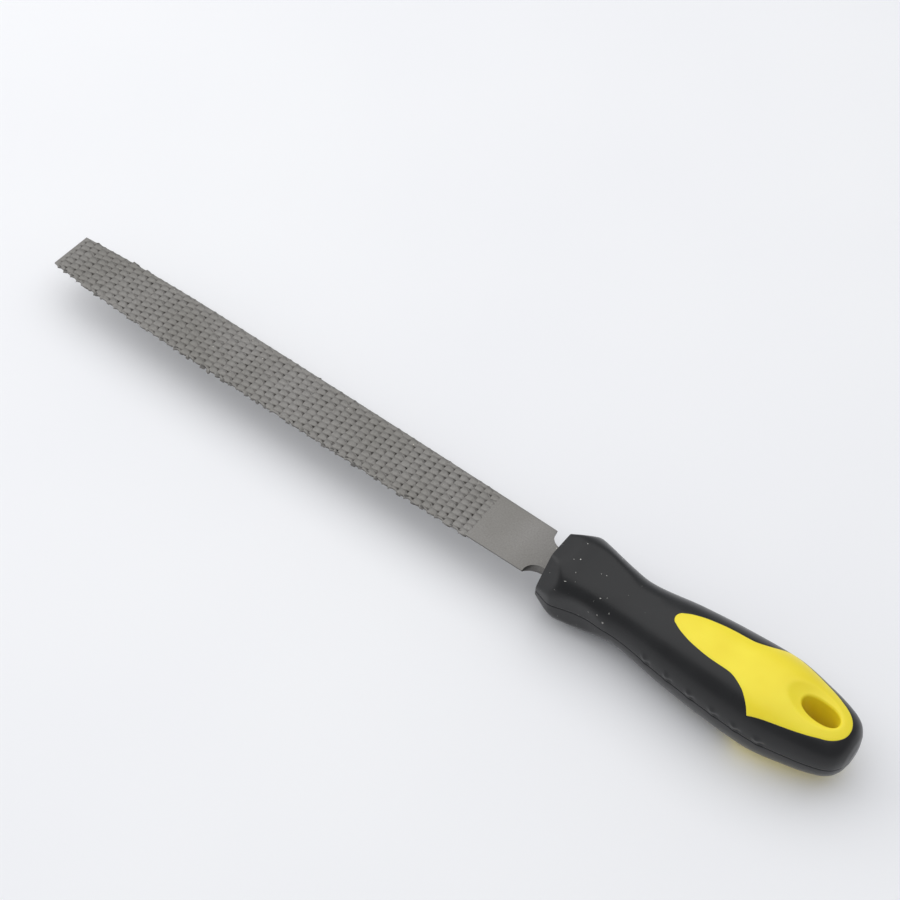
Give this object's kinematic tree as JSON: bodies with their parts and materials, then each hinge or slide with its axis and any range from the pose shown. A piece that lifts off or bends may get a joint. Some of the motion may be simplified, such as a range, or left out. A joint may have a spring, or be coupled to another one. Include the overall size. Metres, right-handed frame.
{
  "type": "half-round hand rasp",
  "caption": "Half-round hand rasp: punched steel blade with flat and belly faces, tang set in a hard yellow handle core, soft black overmoulded grip, oval hang hole.",
  "frame": {"origin": "middle of the object's bounding box, on the surface that the handle's lowest point touches", "axes": "+X runs along the tool from the blade's tip to the handle's butt, +Z points out of the flat toothed face, +Y runs across the blade"},
  "size_m": [0.3134, 0.0306, 0.0284],
  "materials": {
    "blade_steel": "dull satin grey tool steel, punched teeth, plain ground heel",
    "core_plastic": "moulded yellow hard plastic, satin",
    "grip_rubber": "moulded charcoal soft rubber, matt"
  },
  "bodies": {
    "root": {"rasp_blade": "blade_steel", "handle_core": "core_plastic", "soft_grip": "grip_rubber"}
  },
  "joints": []
}
